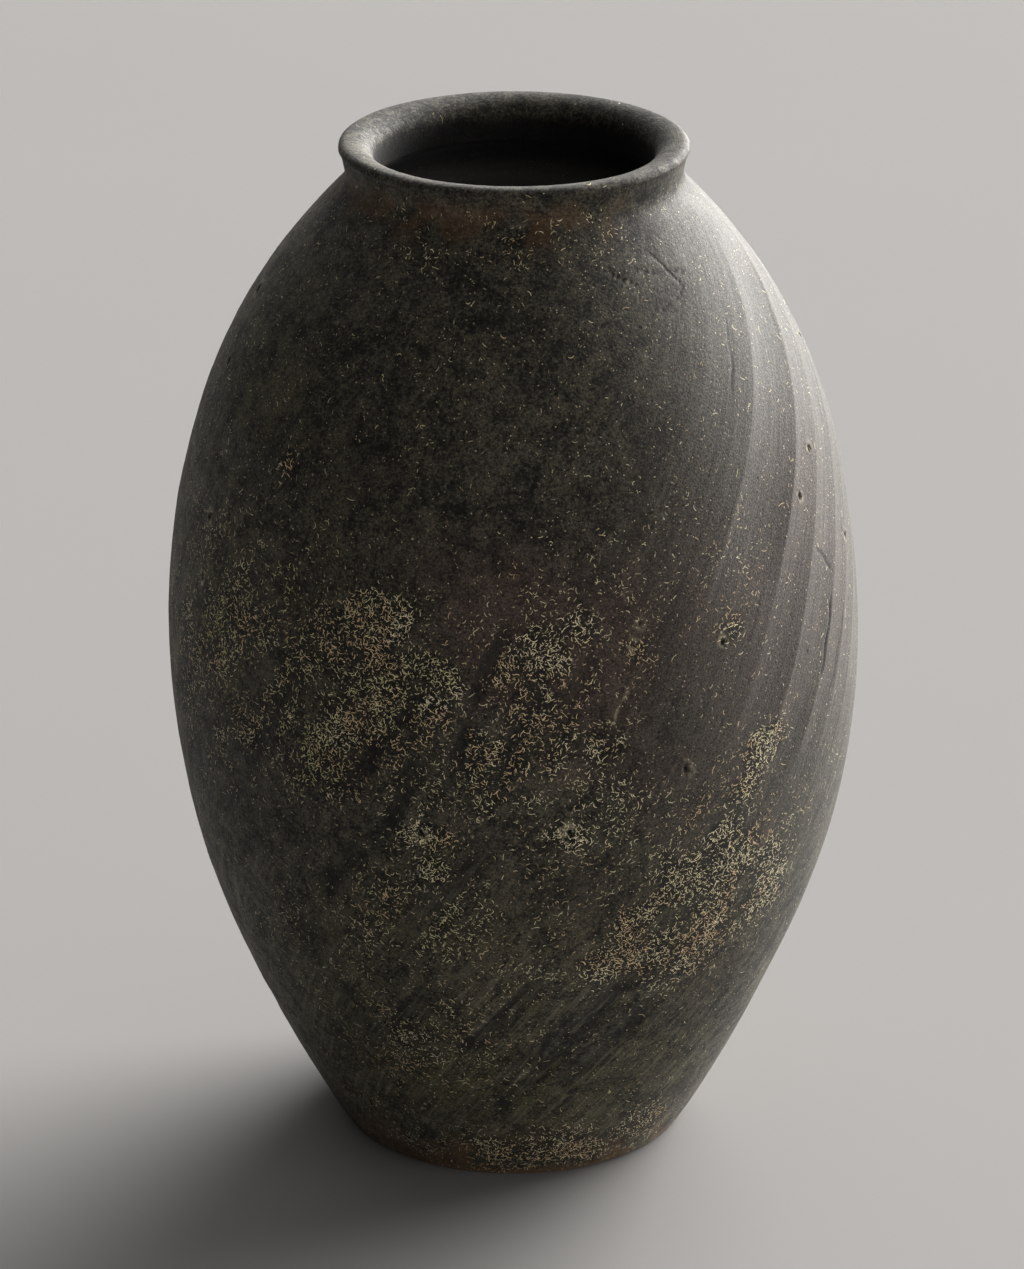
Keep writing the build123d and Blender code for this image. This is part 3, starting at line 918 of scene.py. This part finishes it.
    # Worn patches: a faint dusty film, dark gaps, and the fibres on top.
    film = t.times(t.times(worn, t.ramp(t.noise(here, 2.2, 3.0, 0.6), 0.48, 0.70)), 0.05)
    colour = t.mix(film, colour, FIBRE_TAN)
    colour = t.mix(t.times(t.ramp(worn, 0.10, 0.6), 0.75), colour, CLAY_GAP)
    colour = t.mix(t.attribute("inside"), colour, CLAY_INSIDE)
    group = bpy.data.node_groups.get("fibre_strokes") or fibre_group()
    fibre = None
    for index, (cell, half_length, half_width, curl, bare, thick) in enumerate(FIBRE_LAYERS):
        cover = t.ramp(worn, 0.0, 1.0, bare * (1.0 - 0.85 * wheel), thick, smooth=False)
        clumps = t.noise(t.vector("ADD", here, (41.0 * index, 7.0, 0.0)), 7.0, 2.0)
        cover = t.times(cover, t.ramp(clumps, 0.3, 0.6, 0.35, 1.15))
        shifted = t.vector("ADD", here, (37.0 * index, 11.0 * index, 5.0 * index))
        layer = t.node("ShaderNodeGroup", node_tree=group)
        for socket, value in (("Position", shifted), ("Across", across), ("Up", up), ("Out", out),
                              ("Cover", cover)):
            t.tree.links.new(value, layer.inputs[socket])
        for socket, value in (("Cell", cell), ("Half length", half_length), ("Half width", half_width),
                              ("Curl", curl)):
            layer.inputs[socket].default_value = value
        strength = t.times(layer.outputs["Mask"], t.ramp(layer.outputs["Pick"], 0.0, 0.9, 0.20, 1.0))
        fibre = strength if fibre is None else t.math("MAXIMUM", fibre, strength)
    fibre = t.times(fibre, t.ramp(worn, 0.0, 0.45, 0.80, 1.0))
    fibre_colour = t.mix(t.times(t.attribute("greener"), 0.8), FIBRE_CREAM, FIBRE_OLIVE)
    fibre_colour = t.mix(t.attribute("tan"), fibre_colour, FIBRE_TAN)
    colour = t.mix(fibre, colour, fibre_colour)

    # Holes and cracks, with pale rims, and pinholes. Holes, dark cracks, the throat and pinholes are painted
    # near black as painted shade.
    colour = t.mix(t.times(hole_rim, t.ramp(mottle, 0.45, 0.65, 0.0, 0.22)), colour, FIBRE_CREAM)
    colour = t.mix(hole, colour, PAINTED_SHADE_BLACK)
    pinholes = t.node("ShaderNodeTexVoronoi", {"Vector": here, "Scale": 1.0 / 13.0})
    pick = t.node("ShaderNodeTexWhiteNoise", {"Vector": pinholes.outputs["Position"]}).outputs["Value"]
    pinhole_size = t.ramp(pick, 0.72, 1.0, 0.0, 0.075, smooth=False)
    pinhole = t.math("LESS_THAN", pinholes.outputs["Distance"], pinhole_size)
    colour = t.mix(pinhole, colour, PAINTED_SHADE_BLACK)

    roughness = t.add(t.ramp(tone, 0.40, 0.62, DULLEST, SMOOTHEST), t.swing(streak, 0.10 * strokes))
    roughness = t.add(roughness, t.times(fibre, 0.2))
    roughness = t.add(roughness, t.times(worn, 0.08))

    bump = t.swing(grain, 0.16)
    bump = t.add(bump, t.swing(speck, 0.16))
    bump = t.add(bump, t.swing(mottle, 0.06))
    bump = t.add(bump, t.swing(streak, 0.09 * strokes))
    bump = t.add(bump, t.swing(turning, 0.12 * wheel))
    bump = t.math("SUBTRACT", bump, t.times(pinhole, 0.5))
    relief = t.node("ShaderNodeBump", {"Strength": 1.0, "Distance": MM, "Height": bump})

    shader = t.node("ShaderNodeBsdfPrincipled")
    t.tree.links.new(colour, shader.inputs["Base Color"])
    t.tree.links.new(roughness, shader.inputs["Roughness"])
    t.tree.links.new(relief.outputs["Normal"], shader.inputs["Normal"])
    shader.inputs["Specular IOR Level"].default_value = SPECULAR_LEVEL
    shader.inputs["Sheen Weight"].default_value = SHEEN_WEIGHT
    shader.inputs["Sheen Roughness"].default_value = SHEEN_ROUGHNESS
    output = t.node("ShaderNodeOutputMaterial")
    t.tree.links.new(shader.outputs[0], output.inputs[0])
    return material


# ---- Floor, light and camera ----

FLOOR_HALF_SIZE = 40.0
CAMERA_DISTANCE = 2.340
CAMERA_HEIGHT = 1.215
CAMERA_SIDE = -0.001
CAMERA_PITCH = 22.199
CAMERA_LENS = 142.0
# Large soft lights: name, azimuth, elevation and spread in degrees, strength.
LIGHTS = [("window_low", 134.0, 9.0, 56.0, 13.2), ("window_high", 150.0, 32.0, 46.0, 2.6),
          ("fill", 62.0, 8.0, 50.0, 0.9), ("front", 22.0, 7.0, 50.0, 0.52)]


def direction(azimuth, elevation):
    turn, lift = math.radians(azimuth), math.radians(elevation)
    return np.array([math.cos(lift) * math.sin(turn), -math.cos(lift) * math.cos(turn), math.sin(lift)])


def make_floor():
    mesh = bpy.data.meshes.new("floor")
    h = FLOOR_HALF_SIZE
    mesh.from_pydata([(-h, -h, 0), (h, -h, 0), (h, h, 0), (-h, h, 0)], [], [(0, 1, 2, 3)])
    floor = bpy.data.objects.new("floor", mesh)
    bpy.context.scene.collection.objects.link(floor)
    material = bpy.data.materials.new("pale_paper")
    material.use_nodes = True
    t = Tree(material.node_tree)
    material.node_tree.nodes.clear()
    here = t.node("ShaderNodeTexCoord").outputs["Object"]
    soft = t.noise(here, 0.6, 3.0)
    fleck = t.noise(here, 0.0012, 2.0)
    tone = t.add(t.times(soft, 0.5), t.times(fleck, 0.5))
    colour = t.mix(tone, (0.276, 0.270, 0.266), (0.300, 0.2935, 0.289))
    shader = t.node("ShaderNodeBsdfPrincipled")
    shader.inputs["Roughness"].default_value = 0.9
    shader.inputs["Specular IOR Level"].default_value = 0.1
    t.tree.links.new(colour, shader.inputs["Base Color"])
    output = t.node("ShaderNodeOutputMaterial")
    t.tree.links.new(shader.outputs[0], output.inputs[0])
    mesh.materials.append(material)


def make_light():
    """A dim room, brighter high behind the jar, and four large soft lights on its right: two strong ones from
    behind and two faint ones towards the front."""
    scene = bpy.context.scene
    world = bpy.data.worlds.new("room")
    scene.world = world
    world.use_nodes = True
    world.node_tree.nodes.clear()
    t = Tree(world.node_tree)
    look = t.node("ShaderNodeTexCoord").outputs["Generated"]
    towards = t.vector("DOT_PRODUCT", look, tuple(direction(162.0, 42.0)))
    colour = t.mix(t.ramp(towards, 0.2, 1.0), (0.012, 0.012, 0.012), (0.70, 0.69, 0.675))
    background = t.node("ShaderNodeBackground", {"Color": colour, "Strength": 1.0})
    output = t.node("ShaderNodeOutputWorld")
    t.tree.links.new(background.outputs[0], output.inputs[0])
    for name, azimuth, elevation, spread, strength in LIGHTS:
        sun = bpy.data.lights.new(name, "SUN")
        sun.energy = strength
        sun.angle = math.radians(spread)
        sun.color = (1.0, 0.985, 0.965)
        lamp = bpy.data.objects.new(name, sun)
        scene.collection.objects.link(lamp)
        lamp.rotation_euler = (math.radians(90.0 - elevation), 0.0, math.radians(azimuth))
    scene.view_settings.view_transform = "Standard"


def make_camera():
    data = bpy.data.cameras.new("camera")
    camera = bpy.data.objects.new("camera", data)
    bpy.context.scene.collection.objects.link(camera)
    data.lens = CAMERA_LENS
    data.sensor_width = 36.0
    data.clip_end = 200.0
    camera.location = (CAMERA_SIDE, -CAMERA_DISTANCE, CAMERA_HEIGHT)
    camera.rotation_euler = (math.radians(90.0 - CAMERA_PITCH), 0.0, 0.0)
    bpy.context.scene.camera = camera


MATERIALS = {
    "clay_base": clay_material("clay_base", strokes=1.0, wheel=0.0),
    "clay_wall": clay_material("clay_wall", strokes=1.0, wheel=0.0),
    "clay_rim": clay_material("clay_rim", strokes=0.0, wheel=1.0),
}
build_pieces(MATERIALS)
make_floor()
make_light()
make_camera()
